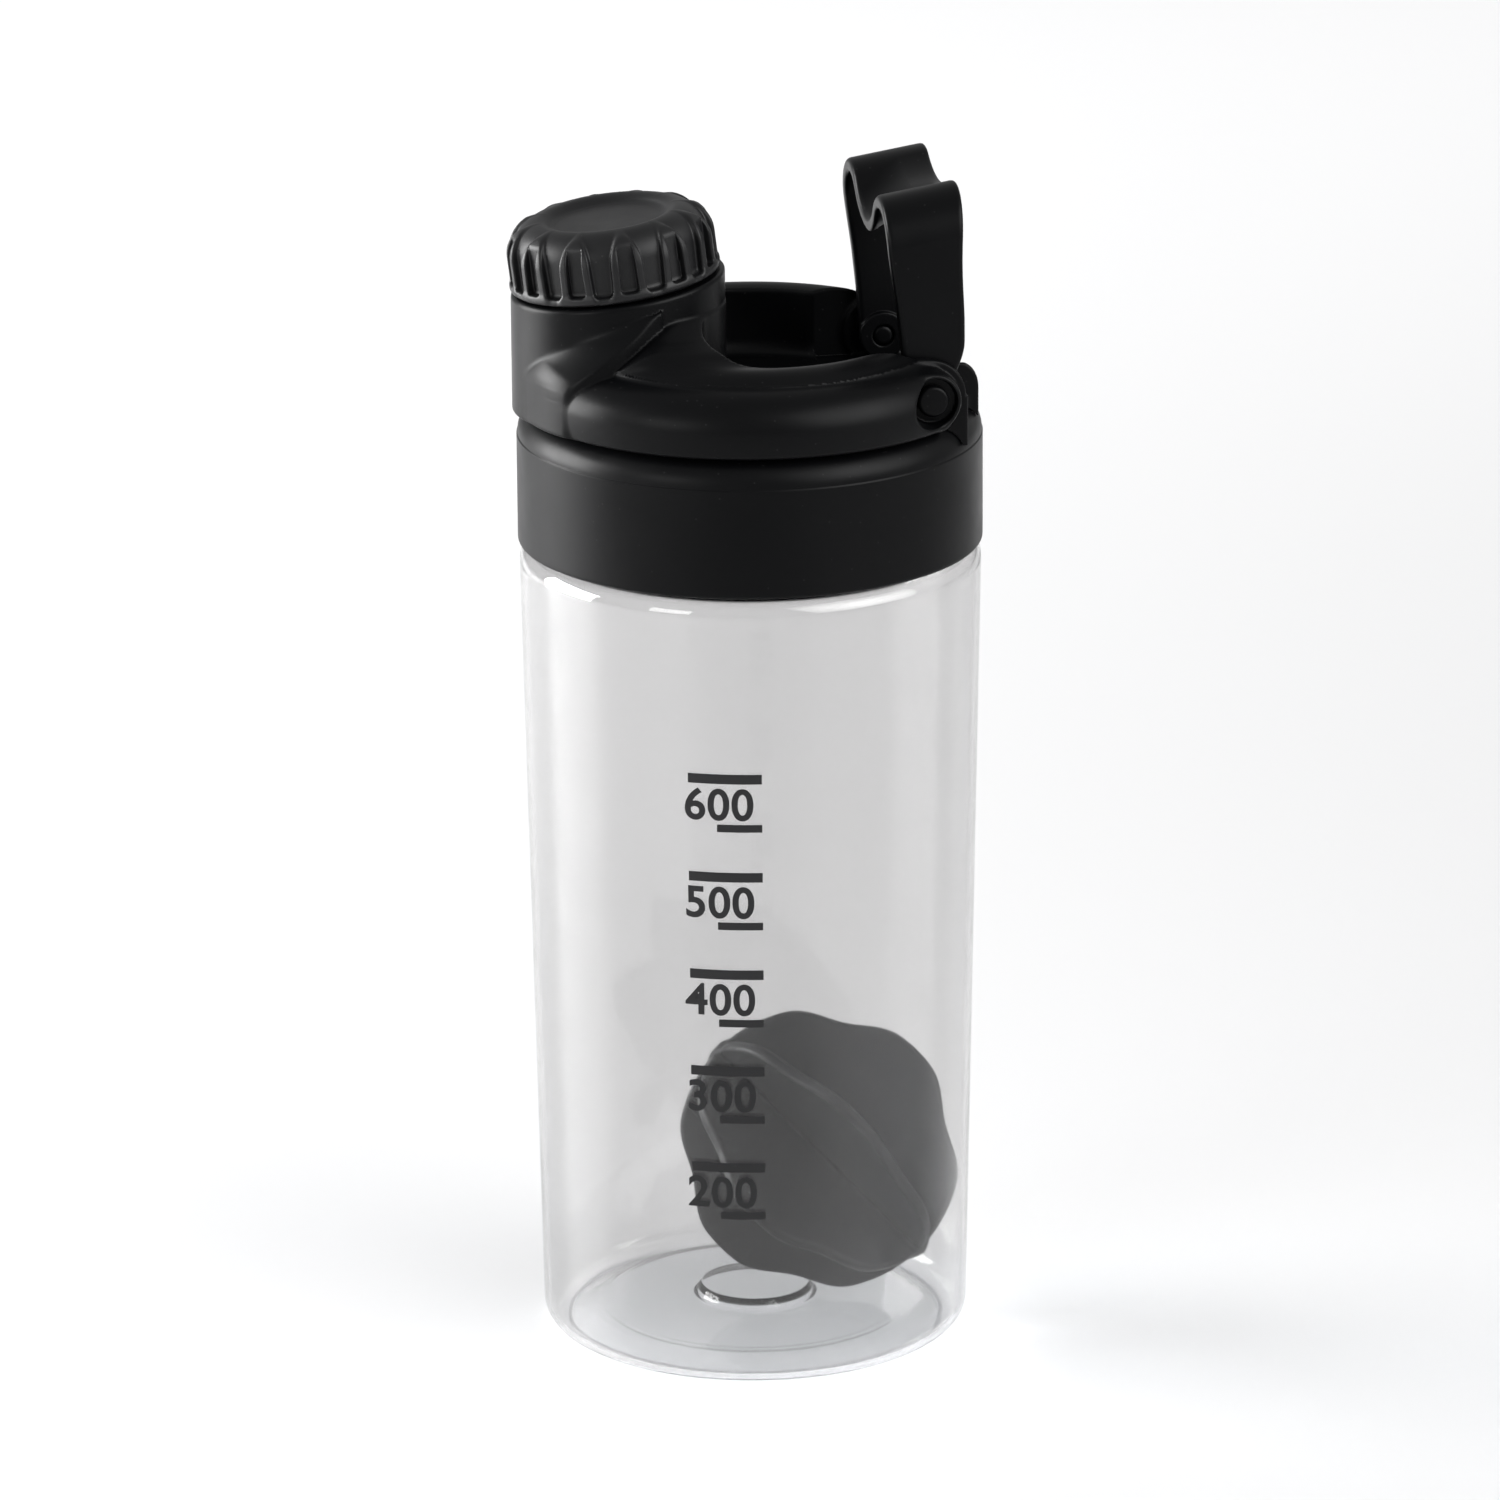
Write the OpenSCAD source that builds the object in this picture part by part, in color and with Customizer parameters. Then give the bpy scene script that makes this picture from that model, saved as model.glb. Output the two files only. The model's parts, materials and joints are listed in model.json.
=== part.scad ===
// Protein shaker bottle: clear bottle, screw lid with a drinking spout, carry loop and mixing ball.
// Millimetres, +Z up. The origin is the centre of the ring that the bottle stands on, the spout
// is towards -X and the carry loop turns about an axis along Y.

/* [Bottle] */
// Outer radius of the bottle where it meets the lid
body_top_r = 44; // [42:0.5:46]
// Outer radius of the bottle just above its base
body_base_r = 41; // [40:0.5:42]
// Height of the lid's lower edge above the surface the bottle stands on
body_h = 157.5; // [150:0.5:175]
// Wall of the clear body
body_wall = 1.2; // [1:0.1:1.6]
// Height of the dome pushed up into the middle of the base
punt_h = 4; // [3:0.5:5]

/* [Screw thread between bottle and lid] */
// Rise of the lid in one turn
lid_lead = 6; // [5:0.5:7]
// Outer radius of the neck between its threads
neck_r = 40.2; // [39.8:0.1:40.4]

/* [Lid] */
// Outer radius of the lid's skirt
collar_r = 44.2; // [44:0.1:45]
// Height of the skirt with its rounded shoulder
collar_h = 26.5; // [25:0.5:28]
// Height of the horseshoe band above the skirt
band_h = 14.5; // [13:0.5:16]
// Radius of the round pocket in the lid
pocket_r = 29.5; // [29:0.25:30]
// Depth from the band's rim to the pocket's floor
pocket_depth = 12.7; // [12:0.1:13]

/* [Spout] */
// Distance of the spout tower's axis from the bottle's axis
tower_x = 25; // [24:0.25:26]
// Outer radius of the spout tower
tower_r = 20.2; // [19.5:0.1:20.5]
// Outward lean of the drinking spout and its cap, in degrees
spout_tilt = 7; // [5:0.5:9]
// Outer radius of the screw cap
cap_r = 19.7; // [19:0.1:20]
// Height of the screw cap
cap_h = 13.3; // [12.5:0.1:15]
// Number of raised grip pads round the cap
cap_pads = 12; // [8:1:16]

/* [Carry loop] */
// Distance of the loop's pivot behind the bottle's axis
pivot_x = 29.8; // [29.5:0.1:30.5]
// Height of the loop's crests above its pivot
loop_h = 35.8; // [34:0.1:36]
// Thickness of the loop's strip
loop_t = 2.7; // [2.4:0.1:2.8]

/* [Mixing ball] */
// Radius of the mixing ball
ball_r = 27.5; // [25:0.5:27.5]
// Thickness of the ball's fins
fin_t = 2.4; // [2:0.1:3]

/* [Hidden] */
$fn = 96;
far = 100;

// Bottle
foot_in_r = 35.5;
base_corner = 3;
shoulder_r = 3.8;
floor_t = 1.8;
dome_w = 6;
dome_h = 2.4;
punt_disc_r = 10.6;
punt_disc_h = 1.4;
punt_step = 0.8;
lip = 0.8;
neck_wall = 2;
neck_top = body_h + 22;
mouth_r = neck_r - neck_wall;

// Threads: a ridge on the neck runs in the groove that a ridge inside the skirt leaves
turn_steps = 36;
fade_steps = 6;
ridge_w = 2;
neck_ridge = 1.2;
skirt_in_r = neck_r + 1.8;
skirt_ridge = 1.1;
thread_z = body_h + 6;
thread_turns = 1.5;

// Lid
deck_t = 2;
deck_top = body_h + collar_h;
deck_under = deck_top - deck_t;
shoulder_w = 5.2;
shoulder_h = 5.3;
plug_r = mouth_r - 1.2;
plug_wall = 1.4;
plug_depth = 7;
fit_gap = 0.05;

// Horseshoe band
rim_top = deck_top + band_h - 0.5;
floor_top = rim_top - pocket_depth;
crown_r = 33;
crease_r = 37;
crease_z = deck_top + 12.3;
band_out_r = collar_r - 0.2;
band_foot_r = 43.3;
band_end = 40;
plate_r = 41;

// Tower and ramp
ramp_z = deck_top + 21.2;
tower_top = deck_top + 25.2;
tower_wall_r = 21;
fillet_r = 6.5;
wing_y = 21.3;
top_x = -25.4;

// Spout and cap
spout_in_r = 12;
spout_out_r = 14.2;
spout_up = 9.6;
flange_r = 16;
flange_t = 2;
seal_t = 1;
tower_bore_r = 16.3;
roof_t = 3;
cap_gap = 0.4;
cap_in_r = 15.9;
cap_round = 5;
liner_t = 1.2;
cap_lead = 4;
cap_ridge = 0.9;
cap_turns = 1.25;
cap_thread_z = 1.6;
dish_r = 11.3;
dish_depth = 1.6;
pad_share = 0.58;
pad_foot = 2.4;
pad_out = 1.9;
slot_w = 1.6;
slot_depth = 0.8;

// Carry loop
pivot_z = deck_top + 6;
arm_y = 22.35;
eye_r = 4.3;
crest_y = 15;
crest_tilt = 9;
valley_drop = 9.4;
loop_low = loop_h - valley_drop;
crest_r = arm_y - crest_y;
crest_z = loop_h - crest_r;

// Hinge lugs and pins
lug_in_y = arm_y + loop_t / 2 + 0.3;
lug_out_y = 29.6;
lug_r = 5.4;
cheek_t = 1.4;
cheek_r = 7;
cheek_back = 37.2;
cheek_w = 10.4;
head_r = 3;
head_t = 1.8;
head_y = lug_out_y - head_t - 0.2;
head_pocket_r = 4.5;
pin_r = 2;
pin_fit = 0.05;
rear_rib_y = 11;
rear_rib_t = 1.2;
rib_x = 37;
rib_l = 5;
rib_round = 3.5;
rib_drop = 5;
rib_top = deck_top + 8.5;
foot_z = deck_top - 5;

// Mixing ball
ball_x = 12.3;
ball_gap = 0.4;
ball_z = punt_h + floor_t + ball_gap + ball_r;
ball_tilt = 47.5;
ball_turn = 153;
ball_spin = 15;
ball_side = -10;
dip_at = 57;
dip_half_w = 25;
dip_depth = 0.08;

function arc(c, rx, rz, a0, a1, n = 12) =
    [for (i = [0 : n]) let (a = a0 + (a1 - a0) * i / n) [c[0] + rx * cos(a), c[1] + rz * sin(a)]];

// Helical ridge on a wall of radius r; a negative depth stands inwards, and both ends fade out
module screw_ridge(r, depth, lead, turns, z0) {
    steps = round(turns * turn_steps);
    root = r - 0.5 * sign(depth);
    ring = [for (i = [0 : steps])
        let (a = i * 360 / turn_steps,
             z = z0 + lead * i / turn_steps,
             fade = min(1, (i + 0.6) / fade_steps, (steps - i + 0.6) / fade_steps),
             tip = r + fade * depth)
        for (p = [[root, 0], [tip, 0.3 * ridge_w], [tip, 0.7 * ridge_w], [root, ridge_w]])
            [p[0] * cos(a), p[0] * sin(a), z + p[1]]];
    side = [for (i = [0 : steps - 1], k = [0 : 3])
        let (a = 4 * i + k, b = 4 * i + (k + 1) % 4)
        for (t = [[a, b, a + 4], [b, b + 4, a + 4]]) t];
    last = 4 * steps;
    ends = [[0, 3, 2], [0, 2, 1], [last, last + 1, last + 2], [last, last + 2, last + 3]];
    faces = concat(side, ends);
    polyhedron(ring, depth > 0 ? faces : [for (t = faces) [t[2], t[1], t[0]]]);
}

function body_r(z) = body_base_r + (body_top_r - body_base_r) * z / body_h;

// Underside of the base, from its middle out to the ring that it stands on
function base_line(lift) = [[0, punt_h + punt_disc_h + lift], [punt_disc_r, punt_h + punt_disc_h + lift],
                            [punt_disc_r + punt_step, punt_h + lift], [foot_in_r - dome_w, dome_h + lift]];

module bottle() color([0.9, 0.93, 0.95, 0.4]) {
    shoulder_z = body_h - shoulder_r;
    corner_x = body_base_r - base_corner;
    corner_in_r = base_corner - body_wall;
    outside = concat(
        base_line(0), [[foot_in_r, 0]],
        arc([corner_x, base_corner], base_corner, base_corner, -90, 0, 8),
        arc([neck_r, shoulder_z], body_r(shoulder_z) - neck_r, shoulder_r, 0, 90, 8),
        [[neck_r, neck_top - lip], [neck_r - lip, neck_top]]);
    inside = concat(
        [[mouth_r, neck_top], [mouth_r, body_h - 2 * body_wall],
         [body_r(shoulder_z) - body_wall, shoulder_z - 2 * body_wall]],
        arc([corner_x, base_corner + floor_t], corner_in_r, corner_in_r, 0, -90, 8),
        [for (i = [3 : -1 : 0]) base_line(floor_t)[i]]);
    union() {
        rotate_extrude() polygon(concat(outside, inside));
        screw_ridge(neck_r, neck_ridge, lid_lead, thread_turns, thread_z);
    }
}

module lid_gasket() color("gainsboro")
    translate([0, 0, neck_top + fit_gap]) difference() {
        cylinder(h = deck_under - neck_top - 2 * fit_gap, r = skirt_in_r - 0.4);
        translate([0, 0, -1]) cylinder(h = far, r = plug_r + 0.3);
    }

// Everything round the tilted spout is built on its own axis, with zero on the tower's top face
module on_spout_axis() translate([top_x, 0, tower_top]) rotate([0, -spout_tilt, 0]) children();

// Outside of the skirt, from its lower edge over the rounded shoulder to the middle of the deck
function collar_outside() = concat(
    [[collar_r - 0.4, body_h + 0.2], [collar_r, body_h + 0.6]],
    arc([collar_r - shoulder_w, deck_top - shoulder_h], shoulder_w, shoulder_h, 0, 90),
    [[0, deck_top]]);

module lid_collar() color([0.09, 0.09, 0.1]) {
    plug_in_r = plug_r - plug_wall;
    plug_low = deck_under - plug_depth;
    shell = concat([[skirt_in_r, body_h + 0.2]], collar_outside(),
                   [[0, deck_under], [plug_in_r, deck_under], [plug_in_r, plug_low], [plug_r, plug_low],
                    [plug_r, deck_under], [skirt_in_r, deck_under]]);
    difference() {
        union() {
            rotate_extrude() polygon(shell);
            screw_ridge(skirt_in_r, -skirt_ridge, lid_lead, thread_turns, thread_z + lid_lead / 2);
        }
        on_spout_axis() translate([0, 0, -40]) cylinder(h = 60, r = spout_in_r);
    }
}

// Outline of the pocket: a round pocket with the tower's wall standing in it
module pocket_outline() {
    reach_in = pocket_r - fillet_r;
    reach_out = tower_wall_r + fillet_r;
    corner_x = (reach_out * reach_out - reach_in * reach_in - tower_x * tower_x) / (2 * tower_x);
    corner = [corner_x, sqrt(reach_in * reach_in - corner_x * corner_x)];
    difference() {
        circle(r = pocket_r);
        translate([-tower_x, 0]) circle(r = tower_wall_r);
        for (side = [0, 1]) mirror([0, side])
            polygon([corner, [-tower_x, 0], [-2 * pocket_r, pocket_r], 2 * corner]);
    }
    for (side = [0, 1]) mirror([0, side]) translate(corner) circle(r = fillet_r);
    // Straight channel that the loop's arms swing in
    translate([pocket_r / 2, -lug_in_y]) square([2 * pocket_r, 2 * lug_in_y]);
}

// Outer limit of everything in the top tier: a side wall that bulges like a tyre
module tier_bulge(z_top) {
    waist_r = crease_r - 0.6;
    waist_z = deck_top + 5.2;
    bulge = concat(
        arc([waist_r, waist_z], band_out_r - waist_r, crease_z - waist_z, 90, 0, 10),
        [[band_foot_r, deck_top + 0.2], [band_foot_r - 3, deck_top], [0, deck_top], [0, z_top]]);
    rotate_extrude() polygon(bulge);
}

module tower() {
    difference() {
        translate([-tower_x, 0, deck_top]) cylinder(h = tower_top - deck_top + tower_r, r = tower_r);
        on_spout_axis() translate([-far / 2, -far / 2, 0]) cube(far);
    }
}

// Wings on both sides of the tower, sweeping down and outwards from its neck
module wings() {
    sweep = [[-19.8, deck_top], [-19.8, ramp_z + 2.6], [-24, ramp_z + 0.6], [-28, ramp_z - 3.8],
             [-33.3, ramp_z - 8.7], [-39, ramp_z - 15], [-collar_r, ramp_z - 17], [-collar_r, deck_top]];
    intersection() {
        translate([0, wing_y, 0]) rotate([90, 0, 0]) linear_extrude(2 * wing_y) polygon(sweep);
        translate([0, 0, deck_top]) cylinder(h = 40, r = band_out_r);
    }
}

module behind_the_lugs()
    polygon([[0, 0], far * [cos(band_end), sin(band_end)], [far, 0], far * [cos(band_end), -sin(band_end)]]);

// Band and ramp: the band's crown rises along a slanted cone to the foot of the tower's neck
module horseshoe() {
    crown_in_r = pocket_r - 4;
    crown = [[crown_in_r, deck_top], [crown_in_r, rim_top - 0.2], [pocket_r, rim_top],
             [crown_r, rim_top + 0.6], [crease_r, crease_z], [crease_r, deck_top]];
    difference() {
        union() {
            tier_bulge(crease_z);
            rotate_extrude() polygon(crown);
            hull() {
                translate([0, 0, crease_z - 1]) cylinder(h = 1, r = crease_r);
                translate([-tower_x, 0, ramp_z - 1]) cylinder(h = 1, r = tower_r);
            }
        }
        translate([0, 0, floor_top]) linear_extrude(far) pocket_outline();
        // The tier is cut away here, and its base plate reaches less far out than its band
        translate([0, 0, deck_top - 1]) linear_extrude(far) difference() {
            behind_the_lugs();
            circle(r = plate_r);
        }
        translate([0, 0, floor_top]) linear_extrude(far) behind_the_lugs();
    }
}

module along_y(y) translate([pivot_x, y, pivot_z]) rotate([-90, 0, 0]) children();

// One hinge lug: a thin cheek with a boss on it, and a pocket in the boss for the pin's head
module lug(side) {
    mirror([0, side < 0 ? 1 : 0, 0]) {
        along_y(lug_in_y) cylinder(h = lug_out_y - lug_in_y, r = lug_r);
        along_y(lug_in_y) cylinder(h = cheek_t, r = cheek_r);
        translate([cheek_back - cheek_w, lug_in_y, foot_z]) cube([cheek_w, cheek_t, pivot_z - foot_z]);
    }
}

module rear_rib(y) {
    rib_end = rib_x + rib_l;
    rib = concat([[rib_x, foot_z], [rib_end, foot_z]],
                 arc([rib_end - rib_round, rib_top - rib_drop], rib_round, rib_drop, 0, 90, 8),
                 [[rib_x, rib_top]]);
    translate([0, y + rear_rib_t / 2, 0]) rotate([90, 0, 0]) linear_extrude(rear_rib_t) polygon(rib);
}

module lid_cover() color([0.08, 0.08, 0.09])
    difference() {
        union() {
            horseshoe();
            tower();
            wings();
            intersection() {
                for (side = [-1, 1]) {
                    lug(side);
                    rear_rib(side * rear_rib_y);
                }
                translate([0, 0, foot_z]) cylinder(h = far, r = band_foot_r + 0.3);
            }
        }
        on_spout_axis() translate([0, 0, -far - roof_t]) cylinder(h = far, r = tower_bore_r);
        on_spout_axis() translate([0, 0, -far / 2]) cylinder(h = far, r = spout_out_r + 0.3);
        for (side = [-1, 1]) mirror([0, side < 0 ? 1 : 0, 0]) {
            along_y(lug_in_y - 1) cylinder(h = far, r = pin_r);
            along_y(head_y) cylinder(h = far, r = head_pocket_r);
        }
        // The cheeks and ribs end on the skirt's rounded shoulder
        rotate_extrude() polygon(concat([[0, body_h]], collar_outside()));
    }

// Everything higher than z
module above(z) translate([-far / 2, -far / 2, z]) cube(far);

module spout_seal() color("gainsboro")
    intersection() {
        on_spout_axis() translate([0, 0, -far / 2]) difference() {
            cylinder(h = far, r = flange_r);
            translate([0, 0, -1]) cylinder(h = far + 2, r = spout_in_r + 1);
        }
        translate([-far / 2, -far / 2, deck_top]) cube([far, far, seal_t]);
    }

module drinking_spout() color([0.09, 0.09, 0.1])
    difference() {
        flange_top = deck_top - tower_top + seal_t + flange_t;
        intersection() {
            on_spout_axis() union() {
                translate([0, 0, spout_up - far / 2]) cylinder(h = far / 2, r = spout_out_r);
                translate([0, 0, flange_top - far / 2]) cylinder(h = far / 2, r = flange_r);
                screw_ridge(spout_out_r, cap_ridge, cap_lead, cap_turns, cap_thread_z);
            }
            above(deck_top + seal_t);
        }
        on_spout_axis() translate([0, 0, -far / 2]) cylinder(h = far, r = spout_in_r);
    }

module cap_liner() color("gainsboro")
    on_spout_axis() translate([0, 0, spout_up + fit_gap]) cylinder(h = liner_t, r = cap_in_r - 0.6);

// Grip pad: a raised rib with a narrow slot down its middle
module cap_pad() {
    pad_w = pad_share * 2 * PI * cap_r / cap_pads;
    pad_h = cap_h - pad_foot - cap_round + 1;
    translate([cap_r - pad_out, 0, pad_foot]) difference() {
        translate([0, -pad_w / 2, 0]) cube([pad_out, pad_w, pad_h]);
        translate([pad_out - slot_depth, -slot_w / 2, 1]) cube([pad_out, slot_w, pad_h - 2]);
    }
}

module spout_cap() color([0.08, 0.08, 0.09])
    on_spout_axis() difference() {
        top_r = cap_r - 1;
        outline = concat(
            [[0, cap_gap], [cap_r - 0.3, cap_gap], [cap_r, cap_gap + 0.4]],
            [[cap_r, pad_foot], [top_r, pad_foot]],
            arc([top_r - cap_round, cap_h - cap_round], cap_round, cap_round, 0, 90, 8),
            [[dish_r + 0.6, cap_h], [dish_r, cap_h - dish_depth], [0, cap_h - dish_depth]]);
        union() {
            rotate_extrude() polygon(outline);
            for (i = [0 : cap_pads - 1]) rotate(360 * i / cap_pads) cap_pad();
        }
        difference() {
            translate([0, 0, -1]) cylinder(h = 1 + spout_up + liner_t + 2 * fit_gap, r = cap_in_r);
            screw_ridge(cap_in_r, -cap_ridge, cap_lead, cap_turns, cap_thread_z + cap_lead / 2);
        }
    }

// Half of the loop's middle line, from the eye up to the middle of the valley between the crests
function loop_line() =
    let (drop = crest_z - loop_low,
         bend = (crest_y * crest_y + drop * drop - crest_r * crest_r) / (2 * (crest_r + drop)),
         centre_z = loop_low + bend,
         meet = atan2(centre_z - crest_z, -crest_y),
         valley = arc([0, centre_z], bend, bend, meet - 180, -90, 8))
    concat([[arm_y, -2 * eye_r]],
           arc([crest_y, crest_z], crest_r, crest_r, 0, meet, 16),
           [for (i = [1 : 8]) valley[i]]);

function side_step(line, i) =
    let (a = line[max(i - 1, 0)], b = line[min(i + 1, len(line) - 1)], d = b - a)
    [-d[1], d[0]] / norm(d);

module loop_front() {
    half = loop_line();
    last = len(half) - 1;
    line = concat(half, [for (i = [1 : last]) [-half[last - i][0], half[last - i][1]]]);
    outer = [for (i = [0 : len(line) - 1]) line[i] - side_step(line, i) * loop_t / 2];
    inner = [for (i = [0 : len(line) - 1]) line[i] + side_step(line, i) * loop_t / 2];
    polygon(concat(outer, [for (i = [len(inner) - 1 : -1 : 0]) inner[i]]));
}

// The loop seen along its pivot: wide at its crests, a little waisted, and drawn in to the eye
module loop_side()
    polygon(concat([[-7.8, loop_h + 5], [-7.5, 29], [-5.6, 16]],
                   arc([0, 0], eye_r, eye_r, 180, 360, 16),
                   [[7.2, 10], [6.8, 22], [7.4, loop_h + 5]]));

module carry_loop() color([0.08, 0.08, 0.09])
    translate([pivot_x, 0, pivot_z]) difference() {
        intersection() {
            rotate([0, -crest_tilt, 0]) rotate([90, 0, 90]) linear_extrude(far, center = true) loop_front();
            rotate([90, 0, 0]) linear_extrude(far, center = true) loop_side();
        }
        rotate([90, 0, 0]) cylinder(h = far, r = pin_r + pin_fit, center = true);
    }

module hinge_pin(side) color([0.1, 0.1, 0.11])
    mirror([0, side < 0 ? 1 : 0, 0]) {
        along_y(arm_y - loop_t / 2 - 0.6) cylinder(h = lug_out_y - arm_y + loop_t / 2, r = pin_r);
        along_y(head_y) cylinder(h = head_t, r = head_r);
    }
module left_hinge_pin() hinge_pin(-1);
module right_hinge_pin() hinge_pin(1);

// Outline of one fin: a circle with shallow dips on each side, at these angles from its pole
function dip(a) = abs(a) < dip_half_w ? pow(cos(90 * a / dip_half_w), 2) : 0;
function fin_r(a) =
    let (from_pole = a > 180 ? 360 - a : a)
    ball_r * (1 - dip_depth * (dip(from_pole - dip_at) + dip(180 - dip_at - from_pole)));

module mixing_ball() color([0.27, 0.28, 0.3])
    translate([ball_x, ball_x * tan(ball_side), ball_z]) rotate([0, ball_tilt, ball_turn]) rotate(ball_spin)
        union() for (turn = [0, 60, 120]) rotate(turn) rotate([90, 0, 0])
            translate([0, 0, -fin_t / 2]) linear_extrude(fin_t)
                polygon([for (a = [0 : 5 : 355]) fin_r(a) * [sin(a), cos(a)]]);

bottle();
lid_gasket();
lid_collar();
lid_cover();
spout_seal();
drinking_spout();
cap_liner();
spout_cap();
carry_loop();
left_hinge_pin();
right_hinge_pin();
mixing_ball();
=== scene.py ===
import json
import math

import bmesh
import bpy
import numpy as np
from mathutils import Matrix, Vector


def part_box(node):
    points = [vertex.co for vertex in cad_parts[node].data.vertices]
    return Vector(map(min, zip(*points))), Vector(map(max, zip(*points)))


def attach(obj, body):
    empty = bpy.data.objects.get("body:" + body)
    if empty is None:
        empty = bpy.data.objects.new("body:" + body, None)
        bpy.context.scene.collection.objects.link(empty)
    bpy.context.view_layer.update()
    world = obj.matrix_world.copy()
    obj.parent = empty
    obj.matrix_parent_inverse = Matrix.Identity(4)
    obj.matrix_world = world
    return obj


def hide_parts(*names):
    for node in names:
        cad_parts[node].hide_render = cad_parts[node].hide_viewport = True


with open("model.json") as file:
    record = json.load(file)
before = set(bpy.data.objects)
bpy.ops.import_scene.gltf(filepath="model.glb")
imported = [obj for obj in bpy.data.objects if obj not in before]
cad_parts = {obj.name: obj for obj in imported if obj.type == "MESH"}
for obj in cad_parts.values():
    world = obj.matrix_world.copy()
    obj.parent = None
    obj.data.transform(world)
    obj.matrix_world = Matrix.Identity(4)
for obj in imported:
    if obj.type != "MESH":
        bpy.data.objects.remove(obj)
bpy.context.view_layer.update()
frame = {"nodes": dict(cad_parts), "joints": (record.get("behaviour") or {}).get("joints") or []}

# ---------------------------------------------------------------- places, from the frame, in millimetres
MM = 0.001
JOINTS = {j["name"]: j for j in frame["joints"]}


def low(node):
    """The lowest corner of a CAD node's box."""
    return np.array(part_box(node)[0]) / MM


def high(node):
    """The highest corner of a CAD node's box."""
    return np.array(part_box(node)[1]) / MM


DECK = low("spout_seal")[2]
SKIRT_LOW = low("lid_collar")[2]
NECK_TOP = high("bottle")[2]
SKIRT_R = high("lid_collar")[0]
PIVOT = np.array(JOINTS["loop_swing"]["pos_m"]) / MM
SPOUT = np.array(JOINTS["cap_turn"]["pos_m"]) / MM
SPOUT_UP = np.array(JOINTS["cap_turn"]["axis"])
SPOUT_OUT = np.array([SPOUT_UP[2], 0, -SPOUT_UP[0]])
BALL = (low("mixing_ball") + high("mixing_ball")) / 2

# ---------------------------------------------------------------- sizes in millimetres, angles in radians
# Bottle: the base rises from its foot to a shallow dish, and to a small raised disc in the middle
BODY_H = SKIRT_LOW - 0.2
BODY_TOP_R = 44
BODY_BASE_R = 41
WALL = 1.2
SHOULDER_R = 3.75
BASE_EDGE_R = 4.5
FOOT_IN_R = 35.5
DISH_R = 29.5
DISH_Z = 2.4
DISC_FOOT_R = 11.6
DISC_FOOT_Z = 3.6
DISC_R = 10.6
DISC_Z = 5.4
NECK_R = 40.2
MOUTH_R = 38.2

# Threads
RIDGE_W = 2
LID_LEAD = 6
LID_TURNS = 1.5
LID_START = BODY_H + 6
LID_RIDGE = 1.2
COLLAR_RIDGE = 1.1
CAP_LEAD = 4
CAP_TURNS = 1.25
CAP_START = 1.6
CAP_RIDGE = 0.9

# Collar
SKIRT_IN_R = 42
DECK_T = 2
PLUG_R = MOUTH_R - 1.2
PLUG_T = 1.4
PLUG_H = 7
SHOULDER_IN_R = 39
SHOULDER_W = 5.2
SHOULDER_H = 5.3

# Band and ramp: a crease runs round them, above a side that bulges like a tyre
FLOOR_TOP = DECK + 1.3
CREASE_R = 37
CREASE_Z = DECK + 12.3
TYRE_R = SKIRT_R - 0.2
TYRE_MID_R = CREASE_R - 0.6
TYRE_MID_Z = DECK + 5.2
TYRE_LOW_H = 11.9
TYRE_BULGE = 7.2
CROWN_MID_R = 32.5
CROWN_MID_Z = CREASE_Z - 2.8
CROWN_R = 5.3
RAMP_SHARE = (0, 0.2, 0.37, 0.49, 0.6, 0.75, 0.86, 1)
RAMP_CLIMB = (0, 0.4, 1.2, 3.0, 4.4, 5.6, 6.6, 8.9)
RAMP_TOP_X = -20
RAMP_TOP_H = 20.4
RAMP_TOP_SLOPE = 0.8
SOFT_FROM_X = 12
SOFT_RUN = 22
BAND_END = math.radians(40)
REAR_FLOOR_R = 41

# Pocket, and the way that the loop's arms take out of it
POCKET_R = 29.5
CORNER_R = 9.5
ARM_WAY_X = 17
ARM_WAY_Y = 24.6

# Tower and wings: by height above the deck, the crease on the tower, the fin's edge and the arc between them,
# and along X, the fin's side
TOWER_X = -25
TOWER_R = 20.2
TOWER_WALL_R = 20.3
WING_CREASE_UP = (7, 9.8, 11.5, 13.4, 15.8, 18, 20.2, 22.4, 23.4, 26)
WING_CREASE_X = (-45.2, -45, -43.6, -41.6, -38.6, -35, -30.5, -24.6, -20.6, -12)
WING_EDGE_UP = (3, 6, 9.2, 12.2, 14.1, 15.9, 17.7, 19.4, 21.9, 23.8, 27)
WING_EDGE_X = (-39.4, -39.3, -38.5, -35.1, -32.6, -30.1, -27.5, -25.1, -22.3, -20.1, -17.6)
WING_ARC_UP = (8, 12, 16, 20)
WING_ARC_R = (16, 18, 30, 50)
WING_ROOT = 3.5
FIN_X = (-46, -39.3, -35.5, -31, -26, -22, -19.8, -16)
FIN_Y = (19.6, 21.2, 22.4, 22.9, 22.4, 21, 20, 18)
FIN_END_X = -19.8

# Hinge
LUG_IN_Y = 24
LUG_OUT_Y = 29.6
LUG_R = 5.4
CHEEK_R = 7
CHEEK_T = 1.4
CHEEK_END_X = 37.2
RIB_Y = 11
RIB_T = 1.2
RIB_IN_X = 36.5
RIB_ARC_X = 38.5
RIB_ARC_W = 3.5
RIB_ARC_H = 5
RIB_ARC_DROP = 2.5
PIN_R = 2
PIN_IN_Y = 20.3
HEAD_R = 3
HEAD_Y = 27.6
HEAD_ROOM_R = 4.5
LUG_BORE_R = 2.03

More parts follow.
